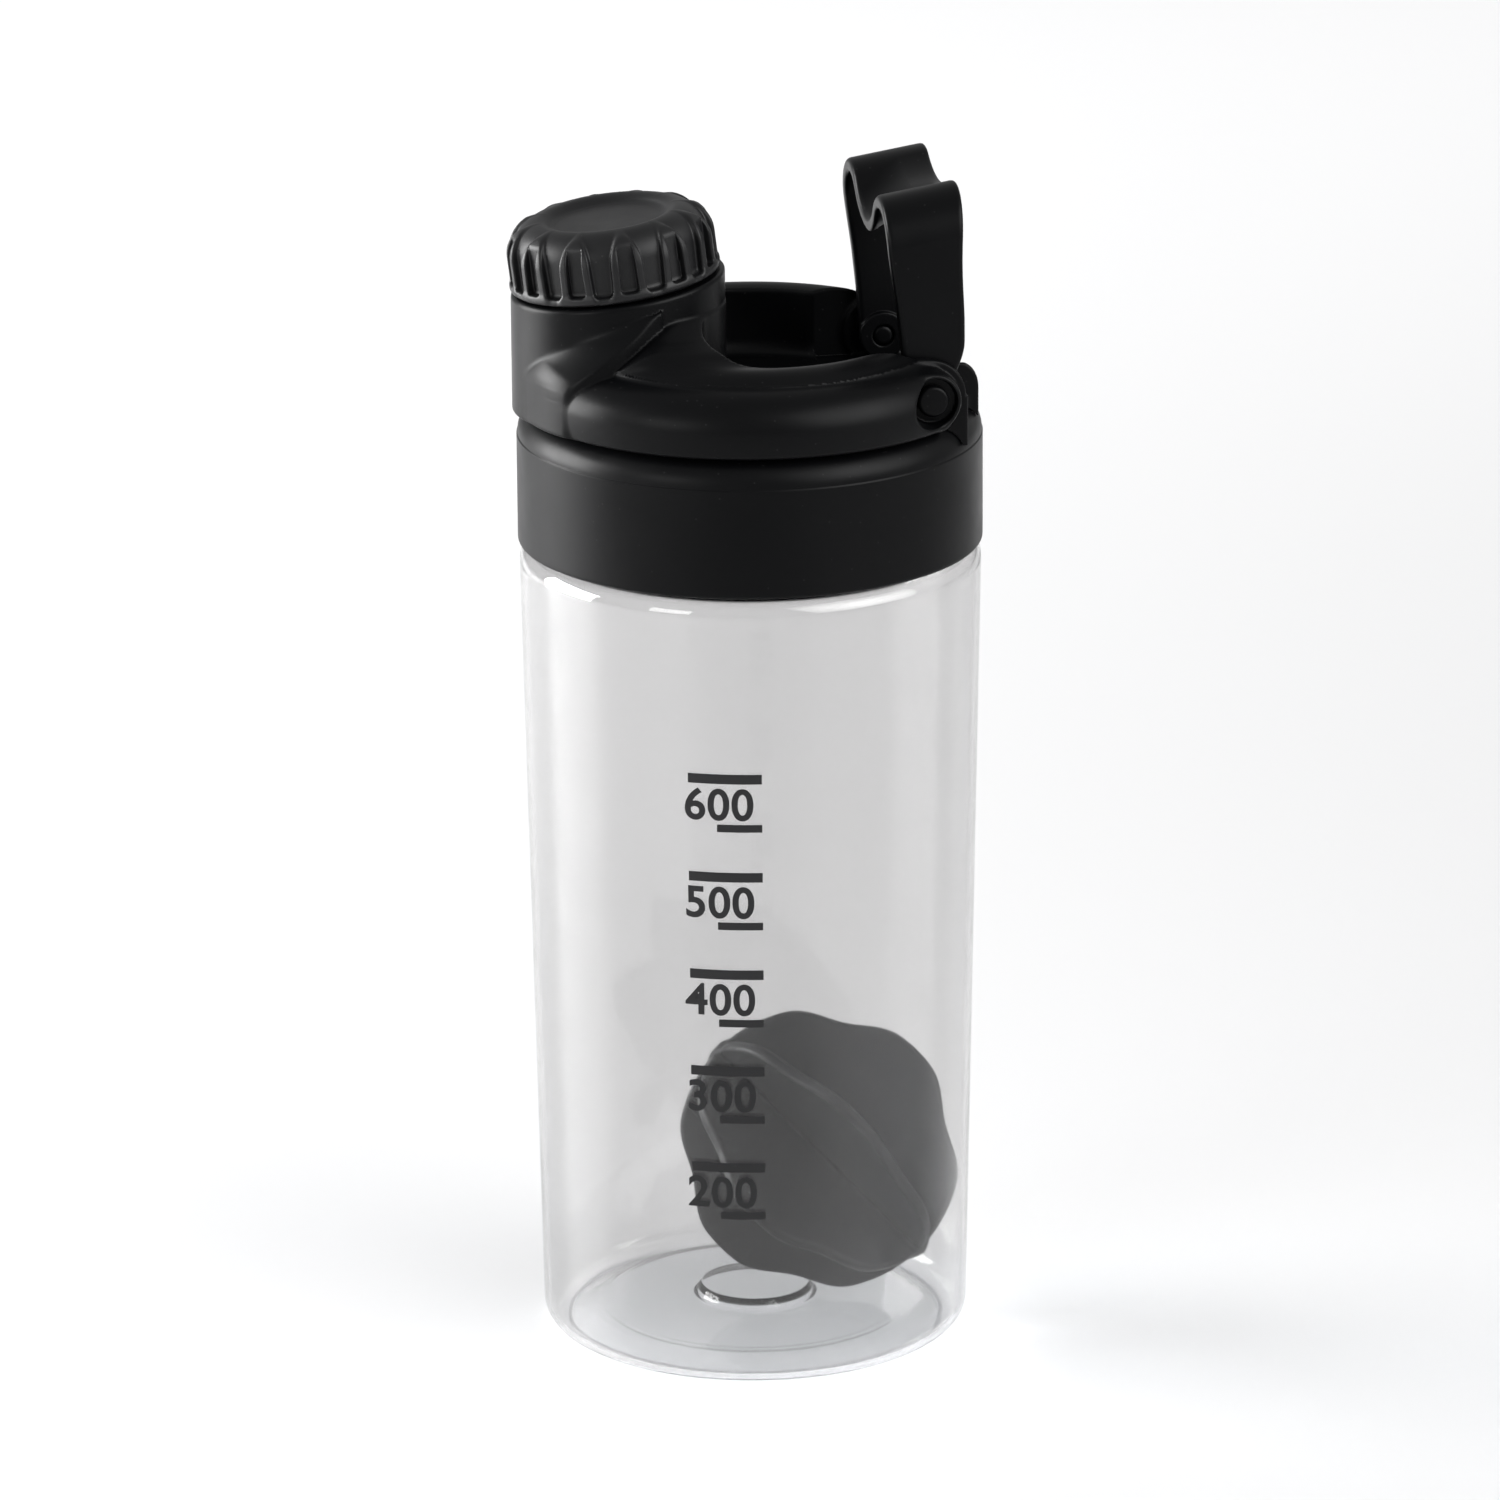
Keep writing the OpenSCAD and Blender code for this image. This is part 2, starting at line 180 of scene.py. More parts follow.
# Drinking spout and its cap, up from the spout's own origin
SPOUT_IN_R = 12
SPOUT_OUT_R = 14.2
SPOUT_TOP = 9.6
FLANGE_R = 16
FLANGE_TOP = -3
SPOUT_GAP = 0.3
CAP_R = 19.7
CAP_H = 13.3
CAP_EDGE_R = 6.2
CAP_IN_R = 15.9
CORE_R = CAP_R - 1.5
CORE_H = CAP_H - 0.15
CORE_EDGE_R = 5.2
CAP_PADS = 12
PAD_HALF_W = 3.4
PAD_ARCH_Z = 8
PAD_ARCH_H = 4.9
SLOT_MID_Z = 6.8
SLOT_HALF_H = 3.9
SLOT_HALF_W = 0.8
CAP_FOOT_H = 1.8
TOP_DISH_R = 10.6
TOP_DISH_DEPTH = 1.5

# Carry loop: half an M on each side, with its strip's front and rear edges against height
ARM_Y = 22.35
STRIP_T = 2.7
CREST_Y = 15
CREST_H = 35.8
CREST_TILT = math.radians(9)
FRONT_VALLEY = 7.6
REAR_VALLEY = 3.1
VALLEY_END_X = 7
VALLEY_RUN = 14
STRIP_FRONT_Z = (-12, 0, 16, 29, 45)
STRIP_FRONT_X = (-4.2, -4.3, -5.7, -7.4, -7.8)
STRIP_REAR_Z = (-12, 0, 9, 12, 24, 45)
STRIP_REAR_X = (4.2, 4.3, 7.15, 7.2, 6.8, 7.5)
EYE_R = 4.3
EYE_BORE_R = 2.08
BOSS_R = 4.6
BOSS_MID_Y = 20.9
BOSS_T = 1.4

# Mixing ball: notches in the fins' rims, at angles from the pole in degrees
BALL_R = 27.5
PLATE_T = 2.4
NOTCH_AT = 57
NOTCH_HALF = 25
NOTCH_DEPTH = 0.08
NUB_R = 1.5

# Meshes
EDGE_RING = 0.3
LONG_EDGE = 1.2
WELD = 1e-6
SHARP = math.radians(38)


# ---------------------------------------------------------------- solids as distance fields
# A field is negative inside its solid. The last number given to join, meet and cut is the width of the edge
# that they leave. A plain factor before a field keeps its slope near one, so that its edges come out true.
def join(a, b, k):
    """Union of two fields, with a fillet about k wide where they meet."""
    share = np.clip(0.5 + 0.5 * (b - a) / k, 0, 1)
    return b + (a - b) * share - k * share * (1 - share)


def meet(a, b, k):
    """What is inside both fields, with an edge about k wide."""
    return -join(-a, -b, k)


def cut(a, b, k):
    """What is inside a and outside b."""
    return -join(-a, b, k)


def net(field, corner, far_corner, step):
    """Points, quads and normals of the surface where field(x, y, z) is zero.

    The points come from surface nets, and are then pulled onto the surface along the field's slope.
    """
    axes = [np.arange(a, b + step, step) for a, b in zip(corner, far_corner)]
    shape = tuple(len(a) for a in axes)
    value = np.broadcast_to(field(*np.meshgrid(*axes, indexing="ij", sparse=True)), shape)
    value = np.ascontiguousarray(value, np.float32)
    inside = value < 0
    corners = [(i, j, k) for i in (0, 1) for j in (0, 1) for k in (0, 1)]
    count = sum(inside[i:shape[0] - 1 + i, j:shape[1] - 1 + j, k:shape[2] - 1 + k].astype(np.int8)
                for i, j, k in corners)
    cells = np.argwhere((count > 0) & (count < 8))
    at = {c: value[tuple((cells + c).T)] for c in corners}
    total, hits = np.zeros((len(cells), 3)), np.zeros(len(cells))
    for a in corners:
        for axis in range(3):
            if a[axis]:
                continue
            b = tuple(v + (n == axis) for n, v in enumerate(a))
            crossed = (at[a] < 0) != (at[b] < 0)
            share = np.where(crossed, at[a] / np.where(crossed, at[a] - at[b], 1), 0)
            point = np.array(a, float) + share[:, None] * np.eye(3)[axis]
            total += np.where(crossed[:, None], point, 0)
            hits += crossed
    points = np.array(corner) + step * (cells + total / hits[:, None])
    number = np.full([n - 1 for n in shape], -1, np.int32)
    number[tuple(cells.T)] = np.arange(len(cells))
    quads = []
    for axis in range(3):
        u, v = (axis + 1) % 3, (axis + 2) % 3
        ahead = [slice(1, -1)] * 3
        behind = [slice(1, -1)] * 3
        ahead[axis], behind[axis] = slice(1, None), slice(None, -1)
        crossed = inside[tuple(behind)] != inside[tuple(ahead)]
        nodes = np.argwhere(crossed) + [int(n != axis) for n in range(3)]
        du, dv = np.eye(3, dtype=int)[u], np.eye(3, dtype=int)[v]
        quad = np.stack([number[tuple((nodes - s).T)] for s in (du + dv, dv, 0 * du, du)], 1)
        outward = inside[tuple(nodes.T)]
        quads.append(np.where(outward[:, None], quad, quad[:, ::-1]))
    for _ in range(5):
        slope = gradient(field, points)
        move = field(*points.T) / np.maximum((slope ** 2).sum(1), 0.05)
        points -= np.clip(move, -step / 2, step / 2)[:, None] * slope
    slope = gradient(field, points)
    return points, np.concatenate(quads), slope / np.linalg.norm(slope, axis=1)[:, None]


def gradient(field, points, reach=0.03):
    """A field's slope at some points, from its values a short reach to either side."""
    steps = reach * np.eye(3)
    return np.stack([field(*(points + s).T) - field(*(points - s).T) for s in steps], 1) / (2 * reach)


def smooth_curve(t, knots, values):
    """A smooth curve through a few given points."""
    knots, values = np.array(knots, float), np.array(values, float)
    slopes = np.gradient(values, knots)
    n = np.clip(np.searchsorted(knots, t) - 1, 0, len(knots) - 2)
    w = knots[n + 1] - knots[n]
    u = np.clip((t - knots[n]) / w, 0, 1)
    return (values[n] * (1 + 2 * u) * (1 - u) ** 2 + slopes[n] * w * u * (1 - u) ** 2
            + values[n + 1] * u * u * (3 - 2 * u) + slopes[n + 1] * w * u * u * (u - 1))


def thread(depth, lead, turns, start, width=RIDGE_W):
    """A right-handed ridge that climbs from start, as a function of the place on its wall."""
    def rise(angle, z):
        """How far the ridge stands out, at an angle and a height."""
        best = 0
        for lap in range(math.ceil(turns) + 1):
            run = angle / (2 * math.pi) % 1 + lap
            across = (z - start - lead * run) / width
            flank = np.clip(3.5 * np.minimum(across, 1 - across), 0, 1)
            fade = np.clip(6 * np.minimum(run, turns - run) + 0.1, 0, 1) * (run <= turns)
            best = np.maximum(best, flank * fade)
        return depth * best
    return rise


# ---------------------------------------------------------------- meshes
def new_mesh(name, points, faces, normals=None):
    """A smooth mesh object from points in millimetres."""
    mesh = bpy.data.meshes.new(name)
    mesh.from_pydata(np.asarray(points) * MM, [], np.asarray(faces).tolist())
    mesh.shade_smooth()
    if normals is not None:
        mesh.normals_split_custom_set_from_vertices(normals.tolist())
    piece = bpy.data.objects.new(name, mesh)
    bpy.context.scene.collection.objects.link(piece)
    return piece


def place(piece, body, slot, material, *nodes):
    """Gives a piece its finish, and the body and the CAD nodes that it stands for."""
    piece.data.materials.clear()
    piece.data.materials.append(material)
    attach(piece, body)
    if nodes:
        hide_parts(*nodes)
    return piece


def rounded(corners, closed=True, chord=math.radians(12)):
    """An outline with each corner (r, z, radius) turned into an arc, and rings close to each arc's ends."""
    out = []
    n = len(corners)
    for i, (r, z, radius) in enumerate(corners):
        here = np.array([r, z], float)
        if not closed and i in (0, n - 1) or radius == 0:
            out.append(here)
            continue
        before = np.array(corners[i - 1][:2], float) - here
        after = np.array(corners[(i + 1) % n][:2], float) - here
        u, v = before / np.linalg.norm(before), after / np.linalg.norm(after)
        half = math.acos(np.clip(u @ v, -1, 1)) / 2
        reach = radius / math.tan(half)
        bisector = (u + v) / np.linalg.norm(u + v)
        centre = here + bisector * radius / math.sin(half)
        sweep = math.pi - 2 * half
        steps = max(2, math.ceil(sweep / chord))
        first = here + u * reach - centre
        turn = np.sign(u[0] * v[1] - u[1] * v[0]) * -1
        for s in range(steps + 1):
            a = turn * sweep * s / steps
            out.append(centre + np.array([first[0] * math.cos(a) - first[1] * math.sin(a),
                                          first[0] * math.sin(a) + first[1] * math.cos(a)]))
    dense = []
    last = len(out) if closed else len(out) - 1
    for i in range(len(out)):
        dense.append(out[i])
        if i < last:
            a, b = out[i], out[(i + 1) % len(out)]
            length = np.linalg.norm(b - a)
            if length > LONG_EDGE:
                dense += [a + (b - a) * EDGE_RING / length, b - (b - a) * EDGE_RING / length]
    return dense


def fine(outline, wall_r, step=0.3):
    """The same outline with rings close enough together for a thread on the wall at radius wall_r."""
    out = []
    for a, b in zip(outline, outline[1:] + outline[:1]):
        out.append(a)
        on_wall = abs(a[0] - wall_r) < 0.01 and abs(b[0] - wall_r) < 0.01
        count = math.ceil(abs(b[1] - a[1]) / step) if on_wall else 1
        out += [a + (b - a) * s / count for s in range(1, count)]
    return out


def lathe(name, outline, segments=192, ridge=None, wall_r=0, closed=True):
    """A turned piece about Z; ridge adds a thread to the wall at radius wall_r."""
    outline = np.array(outline)
    angle = 2 * np.pi * np.arange(segments)[:, None] / segments
    r = np.broadcast_to(outline[:, 0], (segments, len(outline))).copy()
    z = np.broadcast_to(outline[:, 1], r.shape)
    if ridge is not None:
        r += np.where(abs(r - wall_r) < 0.01, ridge(angle, z), 0)
    points = np.stack([r * np.cos(angle), r * np.sin(angle), z], -1).reshape(-1, 3)
    n = len(outline)
    i, j = np.meshgrid(np.arange(segments), np.arange(n if closed else n - 1), indexing="ij")
    after = (i + 1) % segments
    quads = np.stack([i * n + j, after * n + j, after * n + (j + 1) % n, i * n + (j + 1) % n], -1)
    piece = new_mesh(name, points, quads.reshape(-1, 4))
    clean(piece)
    return piece


def clean(piece):
    """Welds points on the axis, turns every face outwards and keeps only real edges sharp."""
    work = bmesh.new()
    work.from_mesh(piece.data)
    bmesh.ops.remove_doubles(work, verts=work.verts, dist=WELD)
    bmesh.ops.recalc_face_normals(work, faces=work.faces)
    work.to_mesh(piece.data)
    work.free()
    piece.data.shade_smooth()
    piece.data.set_sharp_from_angle(angle=SHARP)


def stand(piece, x_axis, y_axis, z_axis, origin):
    """Moves a piece made about Z to an axis of its own."""
    turn = Matrix([list(row) for row in np.stack([x_axis, y_axis, z_axis], 1)]).to_4x4()
    piece.data.transform(Matrix.Translation(Vector(origin) * MM) @ turn)
    return piece


# ---------------------------------------------------------------- lid cover
def pocket_field(x, y, z):
    """The pocket: a round pocket with rounded corners beside the tower, and the arms' straight channel."""
    side = abs(y)
    reach_in, reach_out = POCKET_R - CORNER_R, TOWER_WALL_R + CORNER_R
    corner_x = (reach_in ** 2 - reach_out ** 2 + TOWER_X ** 2) / (2 * TOWER_X)
    corner_y = math.sqrt(reach_in ** 2 - corner_x ** 2)
    disc = np.hypot(x, y) - POCKET_R
    wall = TOWER_WALL_R - np.hypot(x - TOWER_X, y)
    out = np.array([corner_x, corner_y]) / reach_in
    back = np.array([TOWER_X - corner_x, -corner_y]) / reach_out
    px, py = x - corner_x, side - corner_y
    turn = out[0] * back[1] - out[1] * back[0]
    along_out = (px * back[1] - py * back[0]) / turn
    along_back = (out[0] * py - out[1] * px) / turn
    in_corner = (along_out > 0) & (along_back > 0)
    outline = np.where(in_corner, np.hypot(px, py) - CORNER_R, np.maximum(disc, wall))
    channel = np.maximum(side - LUG_IN_Y, POCKET_R / 2 - x)
    outline = join(outline, channel, 1.2)
    return meet(outline, FLOOR_TOP - z, 3.5)


def tier_field(x, y, z):
    """Band and ramp: a tyre-like side, and a top that climbs from the crease to the tower's neck."""
    r = np.hypot(x, y)
    out = np.maximum(r - TYRE_MID_R, 0) / (TYRE_R - TYRE_MID_R)
    above = z - TYRE_MID_Z
    up = np.where(above > 0, above / (CREASE_Z - TYRE_MID_Z), above / TYRE_LOW_H)
    tyre = TYRE_BULGE * (np.hypot(out, up) - 1)
    tyre = meet(tyre, DECK + 0.2 - z, 1.0)
    crown = np.hypot(r - CROWN_MID_R, z - CROWN_MID_Z) - CROWN_R
    climb = smooth_curve(np.clip(share_to_tower(x, r), 0, 1), RAMP_SHARE, RAMP_CLIMB)
    ramp = 0.8 * (z - CREASE_Z - climb)
    ramp = meet(ramp, 0.78 * (z - DECK - RAMP_TOP_H - RAMP_TOP_SLOPE * (x - RAMP_TOP_X)), 2.0)
    ramp = meet(np.maximum(ramp, r - CREASE_R), DECK + 1 - z, 0.5)
    soft = np.clip((x - SOFT_FROM_X) / SOFT_RUN, 0, 1)
    return join(tyre, join(crown, ramp, 2.0), 0.8 + 2.7 * soft * soft)


def share_to_tower(x, r):
    """Share of the way from the crease (0) to the tower (1), over circles that shrink between them."""
    shrink = CREASE_R - TOWER_R
    half_b = CREASE_R * shrink - TOWER_X * x
    square = TOWER_X ** 2 - shrink ** 2
    return (np.sqrt(np.maximum(half_b ** 2 - square * (r * r - CREASE_R ** 2), 0)) - half_b) / square


def open_tier_field(x, y, z):
    """The tier less its pocket, the arms' way out of it, and all that lies behind the band's two ends."""
    behind = np.maximum(abs(y) * math.cos(BAND_END) - x * math.sin(BAND_END), -x)
    arm_way = np.maximum(abs(y) - ARM_WAY_Y, ARM_WAY_X - x)
    hollow = np.minimum(pocket_field(x, y, z), np.maximum(FLOOR_TOP - z, np.minimum(behind, arm_way)))
    tier = cut(tier_field(x, y, z), hollow, 0.5)
    return cut(tier, np.maximum(REAR_FLOOR_R - np.hypot(x, y), behind), 0.6)


def fin_side(x):
    """How far from the middle plane the fin's bowed side is."""
    return smooth_curve(x, FIN_X, FIN_Y)


def wing_field(x, y, z):
    """Wings beside the tower: at each height an arc runs from a crease on its neck out to the fin's edge."""
    side = abs(y)
    up = z - DECK
    crease_x = smooth_curve(up, WING_CREASE_UP, WING_CREASE_X)
    crease_y = np.sqrt(np.clip(TOWER_R ** 2 - (crease_x - TOWER_X) ** 2, 0, None))
    edge_x = smooth_curve(up, WING_EDGE_UP, WING_EDGE_X)
    run_x, run_y = edge_x - crease_x, fin_side(edge_x) - crease_y
    chord = np.hypot(run_x, run_y)
    along = ((x - crease_x) * run_x + (side - crease_y) * run_y) / chord
    off = ((side - crease_y) * run_x - (x - crease_x) * run_y) / chord
    arc_r = smooth_curve(up, WING_ARC_UP, WING_ARC_R)
    wing = 0.55 * (off - along * (chord - along) / (2 * arc_r))
    wing = meet(np.maximum(wing, -along - WING_ROOT), 0.9 * (side - fin_side(x)), 0.3)
    wing = meet(wing, x - FIN_END_X, 0.4)
    wing = meet(wing, np.hypot(x, y) - (SKIRT_R + 0.3), 1.5)
    return meet(wing, DECK + 0.4 - z, 0.5)


def hinge_field(x, y, z):
    """Lugs with their thin cheeks, and the ribs between them."""
    side = abs(y)
    about_pin = np.hypot(x - PIVOT[0], z - PIVOT[2])
    lug = meet(about_pin - LUG_R, np.maximum(LUG_IN_Y - side, side - LUG_OUT_Y), 1.0)
    below = np.maximum(np.maximum(x - CHEEK_END_X, PIVOT[0] - 3 - x), z - PIVOT[2])
    in_cheek = abs(side - LUG_IN_Y - CHEEK_T / 2) - CHEEK_T / 2
    cheek = meet(np.minimum(about_pin - CHEEK_R, below), in_cheek, 0.5)
    round_x = np.maximum(x - RIB_ARC_X, 0) / RIB_ARC_W
    round_z = np.maximum(z - (PIVOT[2] - RIB_ARC_DROP), 0) / RIB_ARC_H
    rib = np.maximum(RIB_ARC_W * (np.hypot(round_x, round_z) - 1), RIB_IN_X - x)
    rib = meet(rib, abs(side - RIB_Y) - RIB_T / 2, 0.5)
    return join(join(lug, cheek, 0.5), rib, 0.3)


def skirt_outside_field(x, y, z):
    """The skirt's rounded shoulder, which the cheeks and ribs end on."""
    out = np.maximum(np.hypot(x, y) - SHOULDER_IN_R, 0) / SHOULDER_W
    up = np.maximum(z - (DECK - SHOULDER_H), 0) / SHOULDER_H
    return SHOULDER_W * (np.hypot(out, up) - 1)


def cover_field(x, y, z):
    """The lid's cover: tier, tower, wings and hinge, less the holes for the pins and the spout."""
    side = abs(y)
    out = (x - SPOUT[0]) * SPOUT_OUT[0] + (z - SPOUT[2]) * SPOUT_OUT[2]
    up = (x - SPOUT[0]) * SPOUT_UP[0] + (z - SPOUT[2]) * SPOUT_UP[2]
    about_spout = np.hypot(out, y)
    about_pin = np.hypot(x - PIVOT[0], z - PIVOT[2])
    tower = meet(np.hypot(x - TOWER_X, y) - TOWER_R, np.maximum(up, DECK - z), 0.9)
    cover = join(open_tier_field(x, y, z), join(tower, wing_field(x, y, z), 0.25), 0.4)
    cover = join(cover, hinge_field(x, y, z), 1.4)
    cover = cut(cover, meet(about_pin - HEAD_ROOM_R, HEAD_Y - side, 0.4), 0.6)
    cover = cut(cover, np.maximum(about_pin - LUG_BORE_R, LUG_IN_Y - 1 - side), 0.1)
    cover = cut(cover, about_spout - SPOUT_OUT_R - SPOUT_GAP, 0.6)
    cover = cut(cover, np.maximum(about_spout - FLANGE_R - SPOUT_GAP, up - FLANGE_TOP), 0.3)
    return cut(cover, skirt_outside_field(x, y, z) - 0.03, 0.2)


# ---------------------------------------------------------------- spout cap, about its own axis
def drum(r, z, radius, height, edge):
    """A round slab up from below, with its top edge rounded."""
    a, b = r - radius + edge, z - height + edge
    return np.hypot(np.maximum(a, 0), np.maximum(b, 0)) + np.minimum(np.maximum(a, b), 0) - edge


def cap_field(x, y, z):
    """The cap: a core with arched, slotted pads, a foot all round, a dished top and a threaded hole."""
    r = np.hypot(x, y)
    angle = np.arctan2(y, x)
    sector = 2 * np.pi / CAP_PADS
    across = CAP_R * (np.mod(angle + sector / 2, sector) - sector / 2)
    core = drum(r, z, CORE_R, CORE_H, CORE_EDGE_R)
    skin = drum(r, z, CAP_R, CAP_H, CAP_EDGE_R)
    arch = np.maximum(z - PAD_ARCH_Z, 0) / PAD_ARCH_H
    pad = 3.0 * (np.hypot(across / (PAD_HALF_W - 0.04 * z), arch) - 1)
    pad = meet(pad, 1.2 - z, 0.8)
    slot_x = np.maximum(abs(across) * (1 + 0.02 * z) - SLOT_HALF_W, 0)
    slot_z = np.maximum(abs(z - SLOT_MID_Z) - SLOT_HALF_H, 0)
    slot = np.maximum(np.hypot(slot_x, slot_z) - 1, CORE_R - r)
    cap = join(core, meet(skin, pad, 0.5), 0.4)
    cap = cut(cap, slot, 0.4)
    cap = join(cap, meet(skin, z - CAP_FOOT_H, 0.6), 1.2)
    cap = meet(cap, 0.4 - z, 0.7)
    dish_wall = r - TOP_DISH_R - 1.2 * (z - CAP_H + TOP_DISH_DEPTH)
    cap = cut(cap, meet(0.65 * dish_wall, CAP_H - TOP_DISH_DEPTH - z, 0.5), 0.7)
    ridge = thread(CAP_RIDGE, CAP_LEAD, CAP_TURNS, CAP_START + CAP_LEAD / 2)
    hole = np.maximum(r - CAP_IN_R + ridge(angle, z), z - SPOUT_TOP - 1.3)
    return cut(cap, hole, 0.3)


# ---------------------------------------------------------------- carry loop, about its pivot
def loop_field(x, y, z):
    """The loop: a strip bent into an M that is shallower towards the rear, with an eye at each end."""
    side = abs(y)
    up = z * math.cos(CREST_TILT) - x * math.sin(CREST_TILT)
    crest_r = ARM_Y - CREST_Y
    crest_z = CREST_H - crest_r
    drop = np.clip(FRONT_VALLEY * (VALLEY_END_X - x) / VALLEY_RUN, REAR_VALLEY, FRONT_VALLEY) - crest_r
    bend = (CREST_Y ** 2 + drop ** 2 - crest_r ** 2) / (2 * (crest_r + drop))
    valley_z = crest_z - drop + bend
    turn = np.arctan2(valley_z - crest_z, -CREST_Y)
    angle = np.arctan2(up - crest_z, side - CREST_Y)
    over_crest = (angle >= 0) & (angle <= turn)
    in_arm = (angle < 0) & (side > CREST_Y)
    line = np.where(over_crest, np.hypot(side - CREST_Y, up - crest_z) - crest_r,
                    np.where(in_arm, side - ARM_Y, bend - np.hypot(y, up - valley_z)))
    about_pin = np.hypot(x, z)
    front = smooth_curve(z, STRIP_FRONT_Z, STRIP_FRONT_X)
    rear = smooth_curve(z, STRIP_REAR_Z, STRIP_REAR_X)
    width = np.where(z < 0, about_pin - EYE_R, np.maximum(front - x, x - rear))
    loop = meet(abs(line) - STRIP_T / 2, width, 1.0)
    boss = meet(about_pin - BOSS_R, abs(side - BOSS_MID_Y) - BOSS_T / 2, 0.4)
    return cut(join(loop, boss, 0.3), about_pin - EYE_BORE_R, 0.3)


# ---------------------------------------------------------------- mixing ball, about its own axis
def notch(degrees):
    """A smooth dip that is 1 in its middle and 0 at half its width."""
    return np.cos(np.clip(90 * degrees / NOTCH_HALF, -90, 90) * np.pi / 180) ** 2


def ball_field(x, y, z):
    """The ball: three crossed round plates with notched rims, and a small nub at the lower pole."""
    ball = 100.0
    for turn in np.radians((0, 60, 120)):
        along = x * np.cos(turn) + y * np.sin(turn)
        off = y * np.cos(turn) - x * np.sin(turn)
        pole = np.degrees(np.arctan2(abs(along), z))
        rim = BALL_R * (1 - NOTCH_DEPTH * (notch(pole - NOTCH_AT) + notch(pole - (180 - NOTCH_AT))))
        plate = meet(np.hypot(along, z) - rim, abs(off) - PLATE_T / 2, 1.0)
        ball = join(ball, plate, 1.6)
    return join(ball, np.sqrt(x * x + y * y + (z + BALL_R - 0.4) ** 2) - NUB_R, 0.8)


def turned(name, field, reach, step, axes, origin):
    """A distance-field piece made about its own axes and set in place."""
    points, quads, normals = net(field, *reach, step)
    return new_mesh(name, points @ axes + origin, quads, normals @ axes)


# ---------------------------------------------------------------- turned pieces
def make_bottle():
    """The bottle's shell: its outside up to the mouth, its inside down again, and a thread on the neck."""
    outside = [
        (0, DISC_Z, 0), (DISC_R, DISC_Z, 0.8), (DISC_FOOT_R, DISC_FOOT_Z, 0.8), (DISH_R, DISH_Z, 8),
        (FOOT_IN_R, 0, 1.0), (BODY_BASE_R, 0, BASE_EDGE_R), (BODY_TOP_R, BODY_H, SHOULDER_R),
        (NECK_R, BODY_H, 0.5), (NECK_R, NECK_TOP, 0.9)]
    inside = [
        (MOUTH_R, NECK_TOP, 0.5), (MOUTH_R, BODY_H - WALL, 1.5),
        (BODY_TOP_R - WALL, BODY_H - WALL, SHOULDER_R - WALL),
        (BODY_BASE_R - WALL, WALL, BASE_EDGE_R - WALL), (FOOT_IN_R, WALL, 1.5),
        (DISH_R, DISH_Z + WALL, 8), (DISC_FOOT_R, DISC_FOOT_Z + WALL, 0.8),
        (DISC_R, DISC_Z + WALL, 0.8), (0, DISC_Z + WALL, 0)]
    outline = fine(rounded(outside + inside), NECK_R)
    ridge = thread(LID_RIDGE, LID_LEAD, LID_TURNS, LID_START)
    return lathe("bottle_shell", outline, 256, ridge, NECK_R)


def make_collar():
    """The collar: deck, sealing plug and skirt, with a thread inside and a crease below the shoulder."""
    crease = DECK - SHOULDER_W
    under = DECK - DECK_T
    outline = rounded([
        (0, under, 0), (PLUG_R - PLUG_T, under, 0.6), (PLUG_R - PLUG_T, under - PLUG_H, 0.5),
        (PLUG_R, under - PLUG_H, 0.5), (PLUG_R, under, 0.5), (SKIRT_IN_R, under, 0.6),
        (SKIRT_IN_R, SKIRT_LOW, 0.4), (SKIRT_R, SKIRT_LOW, 0.7), (SKIRT_R, crease - 0.25, 0.1),
        (SKIRT_R - 0.18, crease, 0.1), (SKIRT_R - 0.14, DECK, 5.0), (0, DECK, 0)])
    outline = fine(outline, SKIRT_IN_R)
    ridge = thread(-COLLAR_RIDGE, LID_LEAD, LID_TURNS, LID_START + LID_LEAD / 2)
    collar = lathe("lid_collar_shell", outline, 240, ridge, SKIRT_IN_R)
    drill(collar)
    return collar


def drill(collar):
    """Cuts the drinking passage through the deck."""
    tool = lathe("drill", [(0, -40), (SPOUT_IN_R, -40), (SPOUT_IN_R, -10), (0, -10)], 96)
    stand(tool, SPOUT_OUT, (0, 1, 0), SPOUT_UP, SPOUT)
    hole = collar.modifiers.new("passage", "BOOLEAN")
    hole.operation, hole.object, hole.solver = "DIFFERENCE", tool, "EXACT"
    bpy.context.view_layer.update()
    drilled = bpy.data.meshes.new_from_object(collar.evaluated_get(bpy.context.evaluated_depsgraph_get()))
    collar.modifiers.clear()
    collar.data = drilled
    bpy.data.objects.remove(tool)
    clean(collar)


def make_spout():
    """The threaded nozzle on its flange, with the flange's underside laid flat on the seal."""
    foot = DECK + 1 - SPOUT[2]
    outline = rounded([
        (SPOUT_IN_R, foot - 4, 0.3), (FLANGE_R, foot - 4, 0.3), (FLANGE_R, foot + 2, 0.3),
        (SPOUT_OUT_R, foot + 2, 0.4), (SPOUT_OUT_R, SPOUT_TOP, 0.7), (SPOUT_IN_R, SPOUT_TOP, 0.9)])
    outline = fine(outline, SPOUT_OUT_R)
    ridge = thread(CAP_RIDGE, CAP_LEAD, CAP_TURNS, CAP_START)
    spout = lathe("spout_nozzle", outline, 160, ridge, SPOUT_OUT_R)
    stand(spout, SPOUT_OUT, (0, 1, 0), SPOUT_UP, SPOUT)
    base = (DECK + 1) * MM
    for v in spout.data.vertices:
        if v.co.z < base:
            v.co += Vector(SPOUT_UP) * ((base - v.co.z) / SPOUT_UP[2])
    return spout


